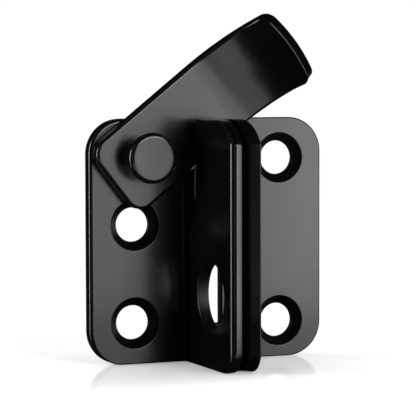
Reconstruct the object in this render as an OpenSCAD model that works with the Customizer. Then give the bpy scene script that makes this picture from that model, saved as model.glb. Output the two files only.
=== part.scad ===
// Flip gate latch: two bent steel plates, a riveted arm that drops into their slots, and padlock holes.
// X runs along the wall from latch to keeper, Y runs into the wall, Z is up. The origin is midway
// between the latch plate's two screw holes, on the face that lies against the gate post.

/* [Sheet] */
// Thickness of the two plates
sheet_t = 2.5; // [2:0.1:3.5]
// Inside radius of the plates' bends
bend_r = 0.6; // [0.4:0.1:1.2]
// Gap between the two upright flanges
plate_gap = 1.4; // [0.8:0.1:3]

/* [Plates] */
// Height of both plates
plate_h = 50; // [48:1:60]
// Width of the latch plate's leaf, from its outer edge to its flange
latch_leaf_w = 20.8; // [19:0.1:30]
// Width of the keeper plate's leaf, from its flange to its outer edge
keeper_leaf_w = 24.2; // [20:0.1:36]
// Radius of the leaves' outer corners
leaf_corner_r = 7.2; // [3:0.1:9]
// Reach of the flanges in front of the leaves
flange_reach = 24; // [22:0.1:30]
// Radius of the sweep at the flanges' top front corner
flange_top_r = 11; // [9.5:0.1:16]
// Depth of that sweep, from the flanges' front edge
flange_top_run = 9; // [5:0.1:9]
// Radius of the flanges' bottom front corner
flange_foot_r = 4.5; // [2:0.1:6]

/* [Screw holes] */
// Diameter of the screw holes
screw_hole_d = 7; // [4:0.1:8]
// Diameter of the screw holes' countersinks at the face, cut at 90 degrees
countersink_d = 10.5; // [9:0.1:11]
// Distance from the latch plate's outer edge to its screw holes
latch_hole_edge = 9.8; // [8:0.1:11]
// Height of the latch plate's lower screw hole
latch_hole_low = 8.4; // [7:0.1:10]
// Distance between the latch plate's screw holes
latch_hole_step = 20; // [15:0.1:21]
// Distance from the keeper plate's outer edge to its screw holes
keeper_hole_edge = 9.5; // [8:0.1:12]
// Height of the keeper plate's lower screw hole
keeper_hole_low = 7.5; // [7:0.1:10]
// Drop of the keeper plate's upper screw hole below the plate's top edge
keeper_hole_drop = 8.4; // [7:0.1:10]

/* [Padlock opening] */
// Diameter of the padlock hole
padlock_d = 13.5; // [8:0.1:14]
// Distance of the padlock hole's centre in front of the leaves
padlock_out = 13.3; // [11:0.1:15]
// Height of the padlock hole's centre
padlock_low = 14.7; // [12:0.1:17]
// How far the keeper's padlock opening runs past the bend into its leaf
opening_run = 1.7; // [1.4:0.1:3]

/* [Arm] */
// Thickness of the arm
arm_t = 2.5; // [2:0.1:3]
// Width of the arm
arm_w = 16.8; // [14:0.1:17.5]
// Length of the arm behind the pivot
arm_heel = 8.5; // [8:0.1:9]
// Length of the flat of the arm in front of the pivot
arm_flat = 19; // [18.5:0.1:30]
// Inside radius of the finger curl
curl_r = 18.8; // [14:0.1:24]
// Angle of the finger curl
curl_angle = 61; // [40:1:75]
// Radius of the heel's corners
heel_r = 3.6; // [2:0.1:5]
// Radius of the tip's corners
tip_r = 2.6; // [1:0.1:4]
// Radius of the tip's bowed edge
tip_bow_r = 30; // [20:1:60]
// Angle of the arm above the closed position as shown
arm_rest = 38.3; // [0:0.1:90]

/* [Arm slots] */
// Reach of the arm slots in front of the leaves
slot_reach = 5.8; // [5:0.1:7]
// Clearance under the closed arm
slot_clear = 0.15; // [0.1:0.05:0.5]

/* [Pivot] */
// Distance from the latch plate's flange to the pivot
pivot_side = 9.8; // [9.5:0.1:10.2]
// Drop of the pivot below the latch plate's top edge
pivot_drop = 7.8; // [7:0.1:8.4]
// Diameter of the rivet's shank
shank_d = 6; // [5:0.1:6.5]
// Diameter of the rivet's head
head_d = 10.3; // [9:0.1:12]
// Height of the rivet's head
head_h = 4.8; // [3:0.1:6]
// Radius of the head's rounded rim
head_rim_r = 0.8; // [0.4:0.1:1.5]
// Diameter of the rivet's flush tail at the back face, formed at 90 degrees
tail_d = 9; // [8:0.1:9]
// Diameter of the spacer washer
washer_d = 13; // [10:0.1:14]
// Thickness of the spacer washer
washer_t = 0.5; // [0.4:0.1:1]
// Running clearance of the arm on the rivet, on each side and at each face
run_gap = 0.05; // [0.03:0.01:0.1]
// Clearance left round the formed rivet in the latch plate
rivet_gap = 0.02; // [0.01:0.01:0.05]

/* [Hidden] */
$fn = 96;

plate_color = [0.05, 0.05, 0.055];
rivet_color = [0.07, 0.07, 0.075];
washer_color = [0.1, 0.1, 0.1];
// How far a cutting shape runs past the face it cuts through
over = 1;

// Places in the part's frame
flange_x = latch_leaf_w - latch_hole_edge;
keeper_x = flange_x + 2 * sheet_t + plate_gap;
base_z = -(latch_hole_low + latch_hole_step / 2);
leaf_y = -sheet_t;
pivot_x = flange_x - pivot_side;
pivot_low = plate_h - pivot_drop;
pivot_z = base_z + pivot_low;
washer_y = leaf_y - washer_t;
arm_back_y = washer_y - run_gap;
arm_front_y = arm_back_y - arm_t;
head_y = arm_front_y - run_gap;

// Depth of a 90 degree countersink that widens from one diameter to another
function sink_depth(wide_d, narrow_d) = (wide_d - narrow_d) / 2;

// Height of the arm slots' bottom above the plates' bottom edge
slot_low = pivot_low - arm_w / 2 - slot_clear;

// A plate in its own place: the flange's leaf side is X = 0, the leaf runs to minus leaf_w,
// the back is Y = 0 and the bottom edge is Z = 0.

// The bent strip seen from above
module bent_strip(leaf_w) {
  outer_r = bend_r + sheet_t;
  translate([-leaf_w, -sheet_t]) square([leaf_w - bend_r, sheet_t]);
  translate([0, -sheet_t - flange_reach]) square([sheet_t, flange_reach - bend_r]);
  translate([-bend_r, -outer_r]) intersection() {
    difference() {
      circle(r = outer_r);
      circle(r = bend_r);
    }
    square(outer_r);
  }
}

// The leaf's outline seen from the front, open on the flange's side
module leaf_outline(leaf_w) {
  far_x = sheet_t + over;
  translate([-leaf_w + leaf_corner_r, 0]) square([leaf_w - leaf_corner_r + far_x, plate_h]);
  translate([-leaf_w, leaf_corner_r]) square([leaf_w, plate_h - 2 * leaf_corner_r]);
  for (z = [leaf_corner_r, plate_h - leaf_corner_r])
    translate([-leaf_w + leaf_corner_r, z]) circle(r = leaf_corner_r);
}

// The flange's outline seen from the side: the first axis is the distance in front of the plate's
// back, the second is the height. The top front corner is a sweep that ends at the front edge.
module flange_outline() {
  front = sheet_t + flange_reach;
  sweep_x = front - flange_top_run;
  sweep_z = plate_h - flange_top_r;
  foot_x = front - flange_foot_r;
  intersection() {
    union() {
      translate([-over, 0]) square([sweep_x + over, plate_h]);
      translate([sweep_x, 0]) square([flange_top_run, sweep_z]);
      intersection() {
        translate([sweep_x, sweep_z]) circle(r = flange_top_r);
        translate([sweep_x, 0]) square([flange_top_run, plate_h]);
      }
    }
    union() {
      translate([-over, flange_foot_r]) square([front + over, plate_h]);
      translate([-over, 0]) square([foot_x + over, plate_h]);
      translate([foot_x, flange_foot_r]) circle(r = flange_foot_r);
    }
  }
}

module bent_plate(leaf_w) {
  intersection() {
    linear_extrude(plate_h) bent_strip(leaf_w);
    translate([0, over, 0]) rotate([90, 0, 0])
      linear_extrude(sheet_t + flange_reach + 2 * over) leaf_outline(leaf_w);
    translate([-leaf_w - over, 0, 0]) rotate([90, 0, -90]) mirror([0, 0, 1])
      linear_extrude(leaf_w + sheet_t + 2 * over) flange_outline();
  }
}

// A countersunk screw hole through the leaf at the origin, its wide end in front
module screw_hole() {
  sink = sink_depth(countersink_d, screw_hole_d);
  rotate([90, 0, 0]) {
    translate([0, 0, -over]) cylinder(d = screw_hole_d, h = sheet_t + 2 * over);
    translate([0, 0, sheet_t - sink])
      cylinder(d1 = screw_hole_d, d2 = countersink_d, h = sink);
    translate([0, 0, sheet_t]) cylinder(d = countersink_d, h = over);
  }
}

// The open-topped slot that the arm drops into
module arm_slot() {
  translate([-bend_r - over, -sheet_t - slot_reach, slot_low])
    cube([bend_r + sheet_t + 2 * over, slot_reach, plate_h]);
}

module padlock_hole() {
  translate([-over, -sheet_t - padlock_out, padlock_low]) rotate([0, 90, 0])
    cylinder(d = padlock_d, h = sheet_t + 2 * over);
}

// The rivet's hole with the sink that its tail is formed into
module rivet_hole() {
  sink = sink_depth(tail_d, shank_d);
  rotate([90, 0, 0]) {
    translate([0, 0, -over]) cylinder(d = shank_d, h = sheet_t + 2 * over);
    cylinder(d1 = tail_d, d2 = shank_d, h = sink);
    translate([0, 0, -over]) cylinder(d = tail_d, h = over);
  }
}

module latch_plate() {
  color(plate_color) translate([flange_x, 0, base_z]) difference() {
    bent_plate(latch_leaf_w);
    arm_slot();
    padlock_hole();
    for (i = [0, 1])
      translate([-flange_x, 0, latch_hole_low + i * latch_hole_step]) screw_hole();
    translate([-pivot_side, 0, pivot_low]) rivet_hole();
  }
}

// The keeper is bent the other way. Its padlock opening runs back through the bend, so that a shackle
// still passes when the gate stands proud of its post.
module keeper_plate() {
  color(plate_color) translate([keeper_x, 0, base_z]) mirror([1, 0, 0]) difference() {
    bent_plate(keeper_leaf_w);
    arm_slot();
    padlock_hole();
    translate([-opening_run, -sheet_t - padlock_out, padlock_low - padlock_d / 2])
      cube([opening_run + sheet_t + over, sheet_t + padlock_out + over, padlock_d]);
    for (z = [keeper_hole_low, plate_h - keeper_hole_drop])
      translate([keeper_hole_edge - keeper_leaf_w, 0, z]) screw_hole();
  }
}

// The arm in its own place: the pivot is the origin, the arm points along X, its back is Y = 0.

// The arm's bent strip seen from its lower edge. The curl bends away from the arm's back, to the user.
module arm_side() {
  outer_r = curl_r + arm_t;
  translate([-arm_heel, -arm_t]) square([arm_flat + arm_heel, arm_t]);
  translate([arm_flat, -outer_r]) intersection() {
    difference() {
      circle(r = outer_r);
      circle(r = curl_r);
    }
    polygon([[0, 0], for (i = [0:2]) 2 * outer_r * [sin(i * curl_angle / 2), cos(i * curl_angle / 2)]]);
  }
}

// The arm's long edges and rounded heel, seen from the front
module arm_outline() {
  reach = arm_heel + arm_flat + curl_r + arm_t;
  translate([-arm_heel + heel_r, -arm_w / 2]) square([reach, arm_w]);
  translate([-arm_heel, heel_r - arm_w / 2]) square([heel_r, arm_w - 2 * heel_r]);
  for (s = [-1, 1])
    translate([heel_r - arm_heel, s * (arm_w / 2 - heel_r)]) circle(r = heel_r);
}

// The end of the arm seen square on: the first axis is the distance behind the tip. The corners'
// circles touch the bowed edge from inside.
module tip_outline() {
  corner_y = arm_w / 2 - tip_r;
  bow_angle = asin(corner_y / (tip_bow_r - tip_r));
  corner_x = tip_bow_r - (tip_bow_r - tip_r) * cos(bow_angle);
  translate([corner_x, -arm_w / 2]) square([arm_w, arm_w]);
  for (s = [-1, 1])
    translate([corner_x, s * corner_y]) circle(r = tip_r);
  translate([tip_bow_r, 0]) intersection() {
    circle(r = tip_bow_r);
    rotate(180) polygon([[0, 0], for (s = [-1, 1]) 2 * tip_bow_r * [cos(bow_angle), s * sin(bow_angle)]]);
  }
}

// What is cut off the curl's square end, which is the plane Y = 0 here, to leave the tip's outline
module tip_trim() {
  trim_run = 2 * tip_r;
  translate([curl_r - over, 0, 0]) rotate([90, 0, 90]) linear_extrude(arm_t + 2 * over) difference() {
    translate([-over, -arm_w / 2 - over]) square([trim_run + over, arm_w + 2 * over]);
    tip_outline();
  }
}

module bent_arm() {
  intersection() {
    difference() {
      translate([0, 0, -arm_w / 2 - over]) linear_extrude(arm_w + 2 * over) arm_side();
      translate([arm_flat, -arm_t - curl_r, 0]) rotate([0, 0, 90 - curl_angle]) tip_trim();
    }
    translate([0, over, 0]) rotate([90, 0, 0]) linear_extrude(arm_t + curl_r + over) arm_outline();
  }
}

module arm() {
  color(plate_color) translate([pivot_x, arm_back_y, pivot_z]) rotate([0, -arm_rest, 0])
    difference() {
      bent_arm();
      rotate([90, 0, 0]) translate([0, 0, -over])
        cylinder(d = shank_d + 2 * run_gap, h = arm_t + 2 * over);
    }
}

// Puts a turned piece on the pivot, its axis running from the plate's back to the user
module on_pivot() {
  translate([pivot_x, 0, pivot_z]) rotate([90, 0, 0]) children();
}

// Half of the rivet's head in section, its underside on the first axis
module head_section() {
  rim_x = head_d / 2 - head_rim_r;
  square([rim_x, head_h]);
  square([head_d / 2, head_h - head_rim_r]);
  translate([rim_x, head_h - head_rim_r]) circle(r = head_rim_r);
}

module pivot_rivet() {
  formed_d = shank_d - 2 * rivet_gap;
  color(rivet_color) on_pivot() {
    cylinder(d1 = tail_d - 2 * rivet_gap, d2 = formed_d, h = sink_depth(tail_d, shank_d));
    cylinder(d = formed_d, h = -head_y);
    translate([0, 0, -head_y]) rotate_extrude() head_section();
  }
}

module spacer_washer() {
  color(washer_color) on_pivot() translate([0, 0, sheet_t]) difference() {
    cylinder(d = washer_d, h = washer_t);
    translate([0, 0, -over]) cylinder(d = shank_d + 2 * run_gap, h = washer_t + 2 * over);
  }
}

latch_plate();
keeper_plate();
arm();
pivot_rivet();
spacer_washer();
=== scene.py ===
"""A flip gate latch: two bent plates, a riveted arm with a finger curl, all in a satin black coat.

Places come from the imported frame. Each sheet is laid out flat from its outline and its holes. Its cut
edges get a rounded section, more on the face that the punch entered, and the sheet is then bent. The
rivet and the washer are turned. Lengths are metres.
"""
import math

import bmesh
import bpy
from mathutils import Matrix, Vector
from mathutils.geometry import delaunay_2d_cdt


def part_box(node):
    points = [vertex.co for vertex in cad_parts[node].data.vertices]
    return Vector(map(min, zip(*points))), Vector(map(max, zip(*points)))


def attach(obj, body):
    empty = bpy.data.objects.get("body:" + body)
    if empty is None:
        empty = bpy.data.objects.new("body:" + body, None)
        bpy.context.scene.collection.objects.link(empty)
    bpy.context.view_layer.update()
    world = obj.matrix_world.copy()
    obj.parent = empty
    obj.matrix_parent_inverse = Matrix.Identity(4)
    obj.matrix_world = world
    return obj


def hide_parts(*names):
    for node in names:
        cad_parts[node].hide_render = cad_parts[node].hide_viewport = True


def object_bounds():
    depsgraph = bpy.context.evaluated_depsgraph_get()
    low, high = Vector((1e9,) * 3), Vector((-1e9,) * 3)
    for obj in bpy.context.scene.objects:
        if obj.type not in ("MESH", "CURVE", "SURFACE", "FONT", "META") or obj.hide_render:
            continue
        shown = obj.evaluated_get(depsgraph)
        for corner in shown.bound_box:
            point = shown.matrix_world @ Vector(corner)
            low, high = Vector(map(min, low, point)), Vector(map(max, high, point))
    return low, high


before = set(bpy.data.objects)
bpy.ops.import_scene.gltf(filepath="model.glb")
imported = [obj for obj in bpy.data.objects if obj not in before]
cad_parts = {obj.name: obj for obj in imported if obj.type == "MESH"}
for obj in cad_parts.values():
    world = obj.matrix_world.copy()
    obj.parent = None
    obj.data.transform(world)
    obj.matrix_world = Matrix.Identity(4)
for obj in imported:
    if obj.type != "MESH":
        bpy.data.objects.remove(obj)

cad_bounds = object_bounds()
MM = 0.001
TINY = 1e-9
AIM = Vector((16, -5, 10)) * MM


# Camera

def make_camera():
    """The photograph's viewpoint, found by fitting the plates' edges, holes and flanges."""
    azimuth = math.radians(22.669)
    elevation = math.radians(3.563)
    roll = math.radians(-0.127)
    distance = 431.98 * MM
    focal_pixels = 2099.96
    image_width = 416
    sensor_width = 36
    aim = Vector((16.05, -2.5, 13.07)) * MM
    back = Vector((-math.sin(azimuth) * math.cos(elevation),
                   -math.cos(azimuth) * math.cos(elevation),
                   math.sin(elevation)))
    level_right = (-back).cross(Vector((0, 0, 1))).normalized()
    level_up = level_right.cross(-back)
    right = level_right * math.cos(roll) + level_up * math.sin(roll)
    up = level_up * math.cos(roll) - level_right * math.sin(roll)
    data = bpy.data.cameras.new("camera")
    data.sensor_width = sensor_width
    data.lens = focal_pixels / image_width * data.sensor_width
    data.clip_start = 0.02
    data.clip_end = 20
    camera = bpy.data.objects.new("camera", data)
    facing = Matrix((right, up, back)).transposed().to_4x4()
    camera.matrix_world = Matrix.Translation(aim + back * distance) @ facing
    bpy.context.scene.collection.objects.link(camera)
    bpy.context.scene.camera = camera


# Materials

class Graph:
    """Short names for making and joining the shader nodes of a material or a world."""

    def __init__(self, owner):
        owner.use_nodes = True
        self.tree = owner.node_tree
        self.tree.nodes.clear()

    def put(self, node, socket, value):
        """Joins another node's output to a socket, or writes a constant there."""
        target = node.inputs[socket]
        if isinstance(value, bpy.types.NodeSocket):
            self.tree.links.new(value, target)
        else:
            target.default_value = value

    def node(self, kind, settings=None, **inputs):
        made = self.tree.nodes.new(kind)
        for name, value in (settings or {}).items():
            setattr(made, name, value)
        for name, value in inputs.items():
            self.put(made, name.replace("_", " "), value)
        return made

    def math(self, operation, first, second):
        made = self.node("ShaderNodeMath", {"operation": operation})
        self.put(made, 0, first)
        self.put(made, 1, second)
        return made.outputs["Value"]

    def ramp(self, value, span, out_low=0.0, out_high=1.0):
        """A smooth step from out_low to out_high while value crosses the span."""
        made = self.node("ShaderNodeMapRange", {"interpolation_type": "SMOOTHSTEP"}, Value=value,
                         From_Min=span[0], From_Max=span[1], To_Min=out_low, To_Max=out_high)
        return made.outputs["Result"]

    def noise(self, place, scale, detail, roughness=0.5):
        made = self.node("ShaderNodeTexNoise", Vector=place, Scale=scale, Detail=detail, Roughness=roughness)
        return made.outputs["Fac"]

    def attribute(self, name):
        return self.node("ShaderNodeAttribute", {"attribute_name": name}).outputs["Fac"]

    def mix_colour(self, factor, first, second):
        """Of a Mix node's sockets, 0, 6 and 7 are the factor and the two colours."""
        made = self.node("ShaderNodeMix", {"data_type": "RGBA"})
        for socket, value in ((0, factor), (6, first), (7, second)):
            self.put(made, socket, value)
        return made.outputs[2]

    def mix_shader(self, factor, first, second):
        made = self.node("ShaderNodeMixShader", Fac=factor)
        self.put(made, 1, first.outputs[0])
        self.put(made, 2, second.outputs[0])
        return made

    def show(self, kind, shader):
        """The output node, with the shader that it shows."""
        self.put(self.node(kind), "Surface", shader.outputs[0])


def grey(level):
    return (level, level, level * 1.04, 1)


def coat_material(name, level, rough, specular=0.3, grain_depth=0.9e-6, worn_level=3.0):
    """Satin black coating with a fine even grain and faint handling marks. It is paler and smoother
    where an edge is worn, and rougher in the holes that the punch cut."""
    mottle = 0.15
    rough_spread = 0.02
    worn_smoother = 0.04
    cut_rougher = 0.3
    cloud_span = (0.3, 0.7)
    fleck_span = (0.35, 0.7)
    material = bpy.data.materials.new(name)
    g = Graph(material)
    place = g.node("ShaderNodeTexCoord").outputs["Object"]
    grain = g.noise(place, 2600.0, 3.0, 0.55)
    cloud = g.noise(place, 70.0, 4.0, 0.6)
    fleck = g.noise(place, 900.0, 2.0)
    wear = g.math("MULTIPLY", g.attribute("edge"), g.ramp(fleck, fleck_span, 0.2, 1.0))
    mottled = g.mix_colour(g.ramp(cloud, cloud_span), grey(level * (1 - mottle)), grey(level * (1 + mottle)))
    colour = g.mix_colour(wear, mottled, grey(level * worn_level))
    rough_cloud = g.ramp(cloud, cloud_span, rough - rough_spread, rough + rough_spread)
    rough_cut = g.math("ADD", rough_cloud, g.math("MULTIPLY", g.attribute("cut"), cut_rougher))
    rough_all = g.math("SUBTRACT", rough_cut, g.math("MULTIPLY", wear, worn_smoother))
    bump = g.node("ShaderNodeBump", Strength=1.0, Distance=grain_depth, Height=grain).outputs["Normal"]
    shader = g.node("ShaderNodeBsdfPrincipled", Base_Color=colour, Roughness=rough_all, Normal=bump,
                    Specular_IOR_Level=specular)
    g.show("ShaderNodeOutputMaterial", shader)
    return material


# Sizes, the same as the solids have

SHEET_T = 2.5 * MM
BEND_R = 0.6 * MM
PLATE_H = 50 * MM
BASE_Z = -18.4 * MM
LEAF_CORNER_R = 7.2 * MM
FLANGE_REACH = 24 * MM
FLANGE_TOP_R = 11 * MM
FLANGE_TOP_RUN = 9 * MM
FLANGE_FOOT_R = 4.5 * MM
HOLE_R = 3.5 * MM
COUNTERSINK_R = 5.25 * MM
LATCH_SCREW_X = 9.8 * MM
LATCH_SCREWS_Z = (8.4 * MM, 28.4 * MM)
KEEPER_SCREW_X = 9.5 * MM
KEEPER_SCREWS_Z = (7.5 * MM, 41.6 * MM)
PADLOCK_R = 6.75 * MM
PADLOCK_OUT = 13.3 * MM
PADLOCK_Z = 14.7 * MM
OPENING_RUN = 1.7 * MM
SLOT_REACH = 5.8 * MM
SLOT_LOW = 33.65 * MM
SLOT_ROOT = 79 / 90
SHANK_R = 2.98 * MM
RIVET_HOLE_R = 3.0 * MM
RIVET_SINK = 1.5 * MM
RIVET_HEAD_R = 5.15 * MM
BORE_R = 3.05 * MM
WASHER_R = 6.5 * MM
WASHER_T = 0.5 * MM
PLAY = 0.05 * MM
ARM_OUT = SHEET_T + WASHER_T + PLAY
ARM_W = 16.8 * MM
ARM_HEEL = 8.5 * MM
ARM_HEEL_R = 3.6 * MM
ARM_FLAT = 19 * MM
CURL_R = 18.8 * MM
CURL_DEGREES = 61
TIP_R = 2.6 * MM
TIP_BOW_R = 30 * MM
ARM_RAISED_DEGREES = 38.3


# Sheet metal

LONGEST_STRETCH = 2 * MM


class Strip:
    """A strip of sheet with one bend, laid out flat. u runs along the strip and is 0 where the bend
    starts, z runs across it, and depth goes from 0 on the face inside the bend to the thickness.
    The strip's own axes are X along its first leg, -Y out of that leg's face, and Z."""

    def __init__(self, start_x, thickness, radius, angle, to_row):
        self.start_x = start_x
        self.thickness = thickness
        self.radius = radius
        self.angle = angle
        self.bend_length = angle * (radius + thickness / 2)
        self.to_row = to_row

    def turn(self, u):
        return self.angle * min(max(u / self.bend_length, 0), 1)

    def place(self, u, z, depth):
        turned = self.turn(u)
        along = u if u < 0 else max(u - self.bend_length, 0)
        reach = self.radius + depth
        x = self.start_x + reach * math.sin(turned) + along * math.cos(turned)
        y = -self.thickness - self.radius + reach * math.cos(turned) - along * math.sin(turned)
        return self.to_row @ Vector((x, y, z))

    def direction(self, along, across, deeper, u):
        """A direction given in the flat strip, as it points once the strip is bent."""
        turned = self.turn(u)
        x = along * math.cos(turned) + deeper * math.sin(turned)
        y = -along * math.sin(turned) + deeper * math.cos(turned)
        return (self.to_row.to_3x3() @ Vector((x, y, across))).normalized()


def arc(centre_u, centre_z, radius, start, end, steps):
    """Points on an arc, its angles in degrees from the u axis."""
    turns = [math.radians(start + (end - start) * i / steps) for i in range(steps + 1)]
    return [(centre_u + radius * math.cos(t), centre_z + radius * math.sin(t)) for t in turns]


def softened(before, corner, after, reach, steps=4):
    """A small rounded corner between two neighbouring points of an outline."""
    start = Vector(corner) + (Vector(before) - Vector(corner)).normalized() * reach
    end = Vector(corner) + (Vector(after) - Vector(corner)).normalized() * reach
    shares = [i / steps for i in range(steps + 1)]
    return [tuple(start * (1 - s) ** 2 + Vector(corner) * 2 * s * (1 - s) + end * s * s) for s in shares]


def divided(outline, longest, lines):
    """The outline with points added, so that no stretch is longer than longest and there is a point
    wherever a level stretch crosses one of the bend's lines."""
    points = []
    margin = 1e-6
    for (u0, z0), (u1, z1) in zip(outline, outline[1:] + outline[:1]):
        points.append((u0, z0))
        length = math.hypot(u1 - u0, z1 - z0)
        parts = max(1, math.ceil(length / longest))
        shares = {i / parts for i in range(1, parts)}
        if abs(z1 - z0) < TINY < abs(u1 - u0):
            shares = {s for s in shares if not lines[0] <= u0 + (u1 - u0) * s <= lines[-1]}
            shares |= {(line - u0) / (u1 - u0) for line in lines}
        for s in sorted(s for s in shares if margin < s < 1 - margin):
            points.append((u0 + (u1 - u0) * s, z0 + (z1 - z0) * s))
    return points


def inward_normals(loop, is_hole):
    """For each point, the unit direction into the sheet and the stretch that keeps offsets parallel."""
    least_cosine = 0.5
    area = sum(u0 * z1 - u1 * z0 for (u0, z0), (u1, z1) in zip(loop, loop[1:] + loop[:1]))
    side = 1 if (area > 0) != is_hole else -1
    found = []
    for i, here in enumerate(loop):
        before = (Vector(here) - Vector(loop[i - 1])).normalized()
        after = (Vector(loop[(i + 1) % len(loop)]) - Vector(here)).normalized()
        middle = (before + after).normalized()
        stretch = 1 / max(middle.dot(after), least_cosine)
        found.append((Vector((-middle.y, middle.x)) * side, stretch))
    return found


def section(corners, steps=4):
    """The sheet's edge in section, from its face round to its back. A corner is (inset, depth, how far
    from it its rounding starts). Gives (inset, depth, normal along the inset, normal along the depth,
    share of edge)."""
    path = []
    straight = 1e-4
    for before, here, after in zip(corners, corners[1:], corners[2:]):
        point = Vector(here[:2])
        into = (point - Vector(before[:2])).normalized()
        out = (Vector(after[:2]) - point).normalized()
        turned = into.angle(out)
        reach = here[2]
        if turned < straight:
            for i in range(steps + 1):
                spot = point + into * reach * (2 * i / steps - 1)
                path.append((spot.x, spot.y, -into.y, into.x, 0))
            continue
        radius = reach / math.tan(turned / 2)
        sense = 1 if into.x * out.y - into.y * out.x > 0 else -1
        centre = point - into * reach + Vector((-into.y, into.x)) * sense * radius
        sharp = min(turned / (math.pi / 2), 1)
        for i in range(steps + 1):
            swing = turned * i / steps * sense
            heading = Vector((into.x * math.cos(swing) - into.y * math.sin(swing),
                              into.x * math.sin(swing) + into.y * math.cos(swing)))
            spot = centre + Vector((heading.y, -heading.x)) * sense * radius
            path.append((spot.x, spot.y, -heading.y, heading.x, sharp * math.sin(math.pi * i / steps)))
    return path


def inside(point, loop):
    """Whether a point of the flat strip lies inside a closed loop."""
    u, z = point
    passed = 0
    for (u0, z0), (u1, z1) in zip(loop, loop[1:] + loop[:1]):
        if (z0 > z) != (z1 > z) and u < u0 + (z - z0) / (z1 - z0) * (u1 - u0):
            passed += 1
    return passed % 2 == 1


def crossings(line, loops):
    """Where a bend line crosses the loops, lowest first: (z, index of the point there or None)."""
    found = {}
    start = 0
    for loop in loops:
        for i, ((u0, z0), (u1, z1)) in enumerate(zip(loop, loop[1:] + loop[:1])):
            if abs(u0 - line) < TINY:
                found[round(z0, 9)] = start + i
            elif abs(u1 - line) > TINY and (u0 > line) != (u1 > line):
                found[round(z0 + (line - u0) / (u1 - u0) * (z1 - z0), 9)] = None
        start += len(loop)
    return sorted(found.items())


def mesh_piece(name, vertices, faces, normals, edge_shares, cut_shares, material):
    """A mesh with its own normals. The shares of edge and of cut are what the coating reads."""
    mesh = bpy.data.meshes.new(name)
    mesh.from_pydata(vertices, [], faces)
    bm = bmesh.new()
    bm.from_mesh(mesh)
    bmesh.ops.recalc_face_normals(bm, faces=bm.faces)
    bm.to_mesh(mesh)
    bm.free()
    for polygon in mesh.polygons:
        polygon.use_smooth = True
    mesh.normals_split_custom_set_from_vertices(normals)
    mesh.attributes.new("edge", "FLOAT", "POINT").data.foreach_set("value", edge_shares)
    mesh.attributes.new("cut", "FLOAT", "POINT").data.foreach_set("value", cut_shares)
    mesh.materials.append(material)
    piece = bpy.data.objects.new(name, mesh)
    bpy.context.scene.collection.objects.link(piece)
    return piece


class SheetPiece:
    """Builds a bent and rounded sheet from flat loops, the first of which is its outline."""

    def __init__(self, strip, lines):
        self.strip = strip
        self.lines = lines
        self.vertices = []
        self.normals = []
        self.edge_shares = []
        self.cut_shares = []
        self.faces = []

    def add(self, u, z, depth, along, across, deeper, share, cut=0):
        self.vertices.append(self.strip.place(u, z, depth))
        self.normals.append(self.strip.direction(along, across, deeper, u))
        self.edge_shares.append(share)
        self.cut_shares.append(cut)
        return len(self.vertices) - 1

    def add_wall(self, loop, is_hole, section_at):
        """The sheet's edge along one loop. Gives the first and last rows of points as
        (flat positions, vertex numbers)."""
        rows = []
        for (u, z), (inward, stretch) in zip(loop, inward_normals(loop, is_hole)):
            column = []
            for inset, depth, normal_in, normal_deep, share in section_at(u, z):
                at = (u + inward.x * inset * stretch, z + inward.y * inset * stretch)
                number = self.add(*at, depth, inward.x * normal_in, inward.y * normal_in, normal_deep, share,
                                  is_hole and normal_in ** 4)
                column.append((at, number))
            rows.append(column)
        for i, column in enumerate(rows):
            following = rows[(i + 1) % len(rows)]
            for j in range(len(column) - 1):
                self.faces.append((column[j][1], column[j + 1][1], following[j + 1][1], following[j][1]))
        return [c[0] for c in rows], [c[-1] for c in rows]

    def add_face(self, rims, depth, deeper):
        """The flat or bent face within the rims, with an edge along each line of the bend. It is cut into
        triangles in millimetres, where the triangulation's tolerance is small enough."""
        loops = [[at for at, _ in rim] for rim in rims]
        flat = [at for loop in loops for at in loop]
        numbers = [number for rim in rims for _, number in rim]
        edges = []
        start = 0
        for loop in loops:
            edges += [(start + i, start + (i + 1) % len(loop)) for i in range(len(loop))]
            start += len(loop)
        clear = 0.3 * MM
        for line in self.lines:
            found = crossings(line, loops)
            for (z0, first), (z1, last) in zip(found[::2], found[1::2]):
                if z1 - z0 < 3 * clear:
                    continue
                ends = []
                for z, index, inwards in ((z0, first, clear), (z1, last, -clear)):
                    if index is None:
                        index = len(flat)
                        flat.append((line, z + inwards))
                        numbers.append(self.add(line, z + inwards, depth, 0, 0, deeper, 0))
                    ends.append(index)
                edges.append(tuple(ends))
        scale = 1000
        tolerance = 1e-7
        spots = [Vector(p) * scale for p in flat]
        spots, _, triangles, sources = delaunay_2d_cdt(spots, edges, [], 0, tolerance)[:4]
        for triangle in triangles:
            middle = sum((spots[i] for i in triangle), Vector((0, 0))) / 3 / scale
            if inside(middle, loops[0]) and not any(inside(middle, hole) for hole in loops[1:]):
                self.faces.append(tuple(numbers[sources[i][0]] for i in triangle))

    def finish(self, name, material):
        return mesh_piece(name, self.vertices, self.faces, self.normals, self.edge_shares, self.cut_shares,
                          material)


def sheet_piece(name, material, strip, lines, outline, outline_section, holes):
    """outline is flat points, outline_section(u, z) its edge in section, holes a list of
    (loop, section)."""
    made = SheetPiece(strip, lines)
    fronts, backs = [], []
    loops = [(divided(outline, LONGEST_STRETCH, lines), False, outline_section)]
    loops += [(loop, True, lambda u, z, fixed=edge: fixed) for loop, edge in holes]
    for loop, is_hole, section_at in loops:
        front, back = made.add_wall(loop, is_hole, section_at)
        fronts.append(front)
        backs.append(back)
    made.add_face(fronts, 0, -1)
    made.add_face(backs, strip.thickness, 1)
    return made.finish(name, material)


def sheet_edge(corners):
    """A sheet's edge in section. Its first and last corners run on into the faces."""
    face_run = 5 * MM
    return section([(face_run, corners[0][1])] + corners + [(face_run, corners[-1][1])])


def plain_edge(face_round, back_round):
    return sheet_edge([(0, 0, face_round), (0, SHEET_T, back_round)])


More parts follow.
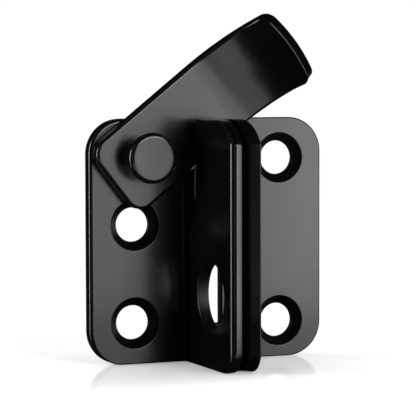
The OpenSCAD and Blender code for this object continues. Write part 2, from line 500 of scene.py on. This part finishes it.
def bend_lines(strip, count):
    """Where along the flat strip its bend gets an edge from side to side."""
    return [strip.bend_length * i / count for i in range(count + 1)]


def hole_loop(u, z, radius, steps=96):
    return arc(u, z, radius, 0, 360, steps)[:-1]


def smooth_step(value, low, high):
    share = min(max((value - low) / (high - low), 0), 1)
    return share * share * (3 - 2 * share)


def blend(first, second, share):
    return first + (second - first) * share


# Plates

def slot_sides(bend_length):
    """Where the arm's slot begins in the bend and ends in the flange, along the flat plate."""
    return bend_length * SLOT_ROOT, bend_length + SLOT_REACH - BEND_R


def near_slot(u, z, bend_length):
    """1 at the arm slot's edge, fading to 0 a little way off."""
    fade = 1.5 * MM
    slot_in, slot_out = slot_sides(bend_length)
    away = max(slot_in - u, u - slot_out, SLOT_LOW - z, 0)
    return 1 - smooth_step(away, 0, fade)


def plate_outline(leaf_w, bend_length):
    """A plate cut out flat: leaf, bend and flange, with the open-topped slot for the arm."""
    left = BEND_R - leaf_w
    right = bend_length + FLANGE_REACH - BEND_R
    slot_in, slot_out = slot_sides(bend_length)
    r = LEAF_CORNER_R
    nose_corner = 0.55 * MM
    mouth_corner = 0.4 * MM
    root_corner = 0.2 * MM
    meets = math.degrees(math.acos(FLANGE_TOP_RUN / FLANGE_TOP_R))
    sweep_z = PLATE_H - FLANGE_TOP_R
    kink = (right, sweep_z + FLANGE_TOP_R * math.sin(math.radians(meets)))
    sweep = arc(right - FLANGE_TOP_RUN, sweep_z, FLANGE_TOP_R, meets, 90, 18)
    points = arc(left + r, r, r, 180, 270, 24)
    points += arc(right - FLANGE_FOOT_R, FLANGE_FOOT_R, FLANGE_FOOT_R, 270, 360, 20)
    points += softened((right, 0), kink, sweep[1], nose_corner, 6)
    points += sweep[2:]
    points += softened((right, PLATE_H), (slot_out, PLATE_H), (slot_out, SLOT_LOW), mouth_corner)
    points += softened((slot_out, PLATE_H), (slot_out, SLOT_LOW), (slot_in, SLOT_LOW), mouth_corner)
    points += softened((slot_out, SLOT_LOW), (slot_in, SLOT_LOW), (slot_in, PLATE_H), root_corner)
    points += softened((slot_in, SLOT_LOW), (slot_in, PLATE_H), (left, PLATE_H), root_corner)
    points += arc(left + r, PLATE_H - r, r, 90, 180, 24)
    return points


def plate_edge(face_round, back_round, middle, lean):
    """A plate's edge in section. It stands in by middle half way through and by lean at the back."""
    half = 1.35 * MM
    middle_round = 0.45 * MM
    return sheet_edge([(0, 0, face_round), (middle, half, middle_round), (lean, SHEET_T, back_round)])


def screw_hole(x, z):
    """A countersunk hole in the leaf, at x from the flange's face."""
    sink = COUNTERSINK_R - HOLE_R
    rim_round, throat_round, back_round = 0.1 * MM, 0.06 * MM, 0.2 * MM
    edge = sheet_edge([(0, 0, rim_round), (-sink, sink, throat_round), (-sink, SHEET_T, back_round)])
    return hole_loop(BEND_R - x, z, COUNTERSINK_R), edge


def make_plate(node, body, strip, leaf_w, holes, leaf_round, nose_edge, material):
    """One bent plate. holes are (loop, section), leaf_round is the rounding of the leaf's front edge,
    nose_edge the plate_edge of the flange's front."""
    bend = strip.bend_length
    nose_end = bend + FLANGE_REACH - BEND_R
    nose_from, nose_by = nose_end - 7 * MM, nose_end - 2 * MM
    foot_fade = 5 * MM
    foot_round = 0.3 * MM
    slot_round = 0.07 * MM
    leaf_edge = (leaf_round, 0.12 * MM, 0, 0)

    def outline_section(u, z):
        nose = smooth_step(u, nose_from, nose_by)
        foot = 1 - smooth_step(z, 0, foot_fade)
        slot = near_slot(u, z, bend)
        face_round, back_round, middle, lean = [blend(a, b, nose) for a, b in zip(leaf_edge, nose_edge)]
        face_round = blend(blend(face_round, foot_round, foot), slot_round, slot)
        back_round = blend(back_round, slot_round, slot)
        return plate_edge(face_round, back_round, middle, lean)

    outline = plate_outline(leaf_w, bend)
    lines = bend_lines(strip, 10)
    piece = sheet_piece(node + "_coated", material, strip, lines, outline, outline_section, holes)
    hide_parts(node)
    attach(piece, body)


def punched_edge():
    return plain_edge(0.2 * MM, 0.2 * MM)


def make_latch_plate(material):
    flange_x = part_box("latch_plate")[1].x - SHEET_T
    leaf_w = flange_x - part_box("latch_plate")[0].x
    strip = Strip(-BEND_R, SHEET_T, BEND_R, math.pi / 2, Matrix.Translation((flange_x, 0, BASE_Z)))
    holes = [screw_hole(leaf_w - LATCH_SCREW_X, z) for z in LATCH_SCREWS_Z]
    padlock_u = strip.bend_length + PADLOCK_OUT - BEND_R
    holes.append((hole_loop(padlock_u, PADLOCK_Z, PADLOCK_R), punched_edge()))
    pivot = pivot_place(0)
    crisp = 0.03 * MM
    riveted = sheet_edge([(0, 0, crisp), (0, SHEET_T - RIVET_SINK, crisp), (RIVET_SINK, SHEET_T, crisp)])
    holes.append((hole_loop(BEND_R - (flange_x - pivot.x), pivot.z - BASE_Z, RIVET_HOLE_R), riveted))
    leaf_round = 0.8 * MM
    nose = (1.1 * MM, 0.35 * MM, 0.01 * MM, 0.16 * MM)
    make_plate("latch_plate", "latch", strip, leaf_w, holes, leaf_round, nose, material)


def make_keeper_plate(material):
    """The mirrored plate. Its padlock opening is round in front and runs square through the bend. Its
    lower edge is a little lower than in the solid."""
    keeper_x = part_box("keeper_plate")[0].x + SHEET_T
    leaf_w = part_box("keeper_plate")[1].x - keeper_x
    mirrored = Matrix.Translation((keeper_x, 0, BASE_Z)) @ Matrix.Scale(-1, 4, (1, 0, 0))
    strip = Strip(-BEND_R, SHEET_T, BEND_R, math.pi / 2, mirrored)
    lowered = 0.5 * MM
    corner = 0.3 * MM
    padlock_u = strip.bend_length + PADLOCK_OUT - BEND_R
    end_u = BEND_R - OPENING_RUN
    low = PADLOCK_Z - PADLOCK_R - lowered
    high = PADLOCK_Z + PADLOCK_R
    opening = arc(padlock_u, PADLOCK_Z, PADLOCK_R, -90, 90, 40)
    opening += softened((padlock_u, high), (end_u, high), (end_u, low), corner)
    opening += softened((end_u, high), (end_u, low), (padlock_u, low), corner)
    opening = divided(opening, LONGEST_STRETCH, bend_lines(strip, 10))
    holes = [screw_hole(leaf_w - KEEPER_SCREW_X, z) for z in KEEPER_SCREWS_Z]
    holes.append((opening, punched_edge()))
    leaf_round = 0.35 * MM
    nose = (0.3 * MM, 0.6 * MM, 0.42 * MM, 0.8 * MM)
    make_plate("keeper_plate", "keeper", strip, leaf_w, holes, leaf_round, nose, material)


# Arm

def pivot_place(out):
    """The point on the pivot's axis at a distance out from the plates' backs."""
    low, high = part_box("pivot_rivet")
    return Vector(((low.x + high.x) / 2, -out, (low.z + high.z) / 2))


def arm_outline(tip, heel, corner_u, bow):
    """The bar laid out flat, its heel's and tip's corners rounded and the end between them bowed."""
    side = ARM_W / 2
    outline = arc(heel + ARM_HEEL_R, ARM_HEEL_R - side, ARM_HEEL_R, 180, 270, 16)
    outline += arc(corner_u, TIP_R - side, TIP_R, -90, -bow, 12)
    outline += arc(tip - TIP_BOW_R, 0, TIP_BOW_R, -bow, bow, 24)[1:]
    outline += arc(corner_u, side - TIP_R, TIP_R, bow, 90, 12)[1:]
    outline += arc(heel + ARM_HEEL_R, side - ARM_HEEL_R, ARM_HEEL_R, 90, 180, 16)
    return outline


def make_arm(material):
    rest = Matrix.Rotation(math.radians(-ARM_RAISED_DEGREES), 4, "Y")
    strip = Strip(ARM_FLAT, SHEET_T, CURL_R, math.radians(CURL_DEGREES),
                  Matrix.Translation(pivot_place(ARM_OUT)) @ rest)
    tip = strip.bend_length
    heel = -ARM_FLAT - ARM_HEEL
    bow = math.asin((ARM_W / 2 - TIP_R) / (TIP_BOW_R - TIP_R))
    corner_u = tip - TIP_BOW_R + (TIP_BOW_R - TIP_R) * math.cos(bow)
    outline = arm_outline(tip, heel, corner_u, math.degrees(bow))
    tab_from, tab_by = corner_u - 3 * MM, corner_u + TIP_R
    bar_round, tab_round, back_round, bore_round = 0.75 * MM, 0.25 * MM, 0.15 * MM, 0.15 * MM

    def edge_at(u, z):
        """Softer along the bar, crisper round the finger tab's end."""
        return plain_edge(blend(bar_round, tab_round, smooth_step(u, tab_from, tab_by)), back_round)

    bore = (hole_loop(-ARM_FLAT, 0, BORE_R, 64), plain_edge(bore_round, bore_round))
    lines = bend_lines(strip, 24)[:-1]
    piece = sheet_piece("arm_coated", material, strip, lines, outline, edge_at, [bore])
    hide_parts("arm")
    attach(piece, "arm")


# Turned pieces

def turned_piece(name, node, body, material, path):
    """A lathe-turned piece on the pivot. path is (radius, distance out from the plates' backs,
    radial normal, outward normal, share of edge), and runs from the axis at the back to the axis in
    front, or round a ring."""
    pivot = pivot_place(0)
    sides = 128
    solid = path[0][0] == 0
    around = path[1:-1] if solid else path
    vertices, normals, shares, faces = [], [], [], []
    for i in range(sides):
        turn = Matrix.Rotation(math.tau * i / sides, 3, "Y")
        for r, out, radial, outward, share in around:
            vertices.append(turn @ Vector((r, -out, 0)) + pivot)
            normals.append(turn @ Vector((radial, -outward, 0)))
            shares.append(share)
    count = len(around)
    for i in range(sides):
        here, after = i * count, (i + 1) % sides * count
        for k in range(count - 1 if solid else count):
            m = (k + 1) % count
            faces.append((here + k, here + m, after + m, after + k))
    if solid:
        for end, k in ((path[0], 0), (path[-1], count - 1)):
            vertices.append(pivot + Vector((0, -end[1], 0)))
            normals.append(Vector((0, -end[3], 0)))
            shares.append(0)
            for i in range(sides):
                faces.append((i * count + k, (i + 1) % sides * count + k, len(vertices) - 1))
    piece = mesh_piece(name, vertices, faces, normals, shares, [0] * len(vertices), material)
    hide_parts(node)
    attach(piece, body)


def turned_path(corners):
    return [(r, out, -normal_in, -normal_out, share)
            for r, out, normal_in, normal_out, share in section(corners, 6)]


def make_rivet(material):
    """A shank with a tapered tail in the latch plate's back and a round head, its face a little dished."""
    top = -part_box("pivot_rivet")[0].y
    under = ARM_OUT + SHEET_T + PLAY
    crisp = 0.05 * MM
    under_round = 0.1 * MM
    rim_round = 1.05 * MM
    dish = 0.1 * MM
    path = turned_path([
        (0, 0), (SHANK_R + RIVET_SINK, 0, crisp), (SHANK_R, RIVET_SINK, crisp), (SHANK_R, under, crisp),
        (RIVET_HEAD_R, under, under_round), (RIVET_HEAD_R, top, rim_round), (0, top)])
    face_r = RIVET_HEAD_R - rim_round
    dished = []
    for share in (0.85, 0.7, 0.55, 0.4, 0.25, 0.1):
        slope = 2 * dish * share / face_r
        dished.append((face_r * share, top - dish * (1 - share * share), -slope, 1, 0))
    turned_piece("pivot_rivet_coated", "pivot_rivet", "latch", material,
                 [(0, 0, 0, -1, 0)] + path + dished + [(0, top - dish, 0, 1, 0)])


def make_washer(material):
    low = SHEET_T
    high = SHEET_T + WASHER_T
    middle = (BORE_R, (low + high) / 2)
    soft = 0.12 * MM
    path = turned_path([middle, (BORE_R, low, soft), (WASHER_R, low, soft), (WASHER_R, high, soft),
                        (BORE_R, high, soft), middle])
    turned_piece("spacer_washer_nylon", "spacer_washer", "latch", material, path)


def make_pieces():
    coat_level = 0.0012
    sheet_rough = 0.21
    plate_coat = coat_material("plate_coat", coat_level, sheet_rough)
    make_latch_plate(plate_coat)
    make_keeper_plate(plate_coat)
    make_arm(coat_material("arm_coat", coat_level, sheet_rough))
    make_rivet(coat_material("rivet_coat", coat_level, rough=0.19))
    make_washer(coat_material("washer_nylon", level=0.006, rough=0.5, grain_depth=3e-6, worn_level=1.0))


# Light

def area_lamp(name, place, turn, width, height, radiance):
    """An area lamp, its brightness given as what a mirror would show of it."""
    data = bpy.data.lights.new(name, "AREA")
    data.shape = "RECTANGLE"
    data.size = width
    data.size_y = height
    data.energy = radiance * math.pi * width * height
    lamp = bpy.data.objects.new(name, data)
    lamp.location = place
    lamp.rotation_euler = turn
    lamp.visible_camera = False
    bpy.context.scene.collection.objects.link(lamp)


def softbox(name, azimuth, elevation, distance, width, height, radiance):
    """A lamp that faces the latch. Azimuth 0 is in front of it, 90 is to its right."""
    a, e = math.radians(azimuth), math.radians(elevation)
    away = Vector((math.sin(a) * math.cos(e), -math.cos(a) * math.cos(e), math.sin(e)))
    area_lamp(name, AIM + away * distance, away.to_track_quat("Z", "Y").to_euler(), width, height, radiance)


def make_world():
    """White to the camera, and an even light on the object. The coat mirrors only a pale backdrop low
    behind it and to its right."""
    behind_span = (0.2, 0.6)
    right_span = (-0.1, 0.25)
    low_span = (0.1, 0.22)
    world = bpy.data.worlds.new("studio")
    bpy.context.scene.world = world
    g = Graph(world)
    path = g.node("ShaderNodeLightPath")
    direction = g.node("ShaderNodeTexCoord").outputs["Generated"]
    split = g.node("ShaderNodeSeparateXYZ", Vector=direction)
    behind = g.ramp(split.outputs["Y"], behind_span)
    right = g.ramp(split.outputs["X"], right_span)
    low = g.ramp(split.outputs["Z"], low_span, 1.0, 0.0)
    backdrop = g.math("MULTIPLY", g.math("MULTIPLY", behind, right), low)
    even = g.node("ShaderNodeBackground", Color=grey(1.0), Strength=0.7)
    shown = g.node("ShaderNodeBackground", Color=(1, 1, 1, 1), Strength=backdrop)
    white = g.node("ShaderNodeBackground", Color=(1, 1, 1, 1), Strength=1.0)
    mirrored = g.math("MAXIMUM", path.outputs["Is Glossy Ray"], path.outputs["Is Transmission Ray"])
    around = g.mix_shader(mirrored, even, shown)
    g.show("ShaderNodeOutputWorld", g.mix_shader(path.outputs["Is Camera Ray"], around, white))


def floor_as_seen(g, place, z):
    """What the camera sees: pale, with a mirror sheen under and behind the latch, and white far off."""
    white_span = (0.06, 0.2)
    sheen_span = (-0.056, -0.014)
    sheen = 0.4
    depth = g.node("ShaderNodeSeparateXYZ", Vector=place).outputs["Y"]
    offset = g.node("ShaderNodeVectorMath", {"operation": "SUBTRACT"})
    g.put(offset, 0, place)
    g.put(offset, 1, (AIM.x, AIM.y, z))
    distance = g.node("ShaderNodeVectorMath", {"operation": "LENGTH"})
    g.put(distance, 0, offset.outputs[0])
    lit = g.node("ShaderNodeBsdfDiffuse", Color=(0.8, 0.8, 0.8, 1))
    glow = g.node("ShaderNodeEmission", Color=(1, 1, 1, 1), Strength=0.4)
    pale = g.node("ShaderNodeAddShader")
    g.put(pale, 0, lit.outputs[0])
    g.put(pale, 1, glow.outputs[0])
    mirror = g.node("ShaderNodeBsdfGlossy", Color=(1, 1, 1, 1), Roughness=0.09)
    white = g.node("ShaderNodeEmission", Color=(1, 1, 1, 1), Strength=1.0)
    near = g.mix_shader(g.ramp(depth, sheen_span, 0.0, sheen), pale, mirror)
    return g.mix_shader(g.ramp(distance.outputs["Value"], white_span), near, white)


def floor_as_met(g, place, glossy):
    """What every other ray meets: dark, with a pale zone behind and to the right that only reflections
    show, for the plates' backs. In front there is nothing, so that the lamp below the floor shows."""
    beside_span = (0.07, 0.1)
    off_row_span = (0.0, 0.03)
    row_slope = 0.7
    front_span = (-0.081, -0.08)
    spot = g.node("ShaderNodeSeparateXYZ", Vector=place)
    beside = g.ramp(spot.outputs["X"], beside_span)
    off_row = g.math("SUBTRACT", spot.outputs["Y"], g.math("MULTIPLY", spot.outputs["X"], row_slope))
    zone = g.math("MULTIPLY", beside, g.ramp(off_row, off_row_span))
    dark = g.node("ShaderNodeBsdfPrincipled", Base_Color=(0.03, 0.03, 0.03, 1), Roughness=0.12)
    pale = g.node("ShaderNodeEmission", Color=(1, 1, 1, 1), Strength=4.0)
    clear = g.node("ShaderNodeBsdfTransparent")
    around = g.mix_shader(g.math("MULTIPLY", zone, glossy), dark, pale)
    return g.mix_shader(g.ramp(spot.outputs["Y"], front_span, 1.0, 0.0), around, clear)


def make_floor():
    half = 4.0
    z = cad_bounds[0].z - 0.02 * MM
    corners = [(-half, -half, z), (half, -half, z), (half, half, z), (-half, half, z)]
    mesh = bpy.data.meshes.new("floor")
    mesh.from_pydata(corners, [], [(0, 1, 2, 3)])
    floor = bpy.data.objects.new("floor", mesh)
    bpy.context.scene.collection.objects.link(floor)
    material = bpy.data.materials.new("floor_pale")
    g = Graph(material)
    path = g.node("ShaderNodeLightPath")
    place = g.node("ShaderNodeTexCoord").outputs["Object"]
    seen = floor_as_seen(g, place, z)
    met = floor_as_met(g, place, path.outputs["Is Glossy Ray"])
    g.show("ShaderNodeOutputMaterial", g.mix_shader(path.outputs["Is Camera Ray"], met, seen))
    mesh.materials.append(material)


def make_light():
    """The keys light the faces and noses, side_left the flange's and the leaf's left edges, and the
    table below and in front what faces down."""
    make_world()
    make_floor()
    softbox("key", azimuth=19, elevation=4, distance=0.7, width=0.30, height=0.62, radiance=4.4)
    softbox("key_right", azimuth=33, elevation=4, distance=0.69, width=0.15, height=0.60, radiance=7.0)
    softbox("key_top", azimuth=12, elevation=18, distance=0.69, width=0.34, height=0.16, radiance=13.0)
    softbox("side_left", azimuth=-99, elevation=2, distance=0.6, width=0.13, height=0.5, radiance=24.0)
    face_up = (math.pi, 0, 0)
    area_lamp("table_front", (-0.03, -0.415, -0.12), face_up, width=0.42, height=0.42, radiance=2.5)


bpy.context.scene.view_settings.view_transform = "Standard"
make_camera()
make_pieces()
make_light()
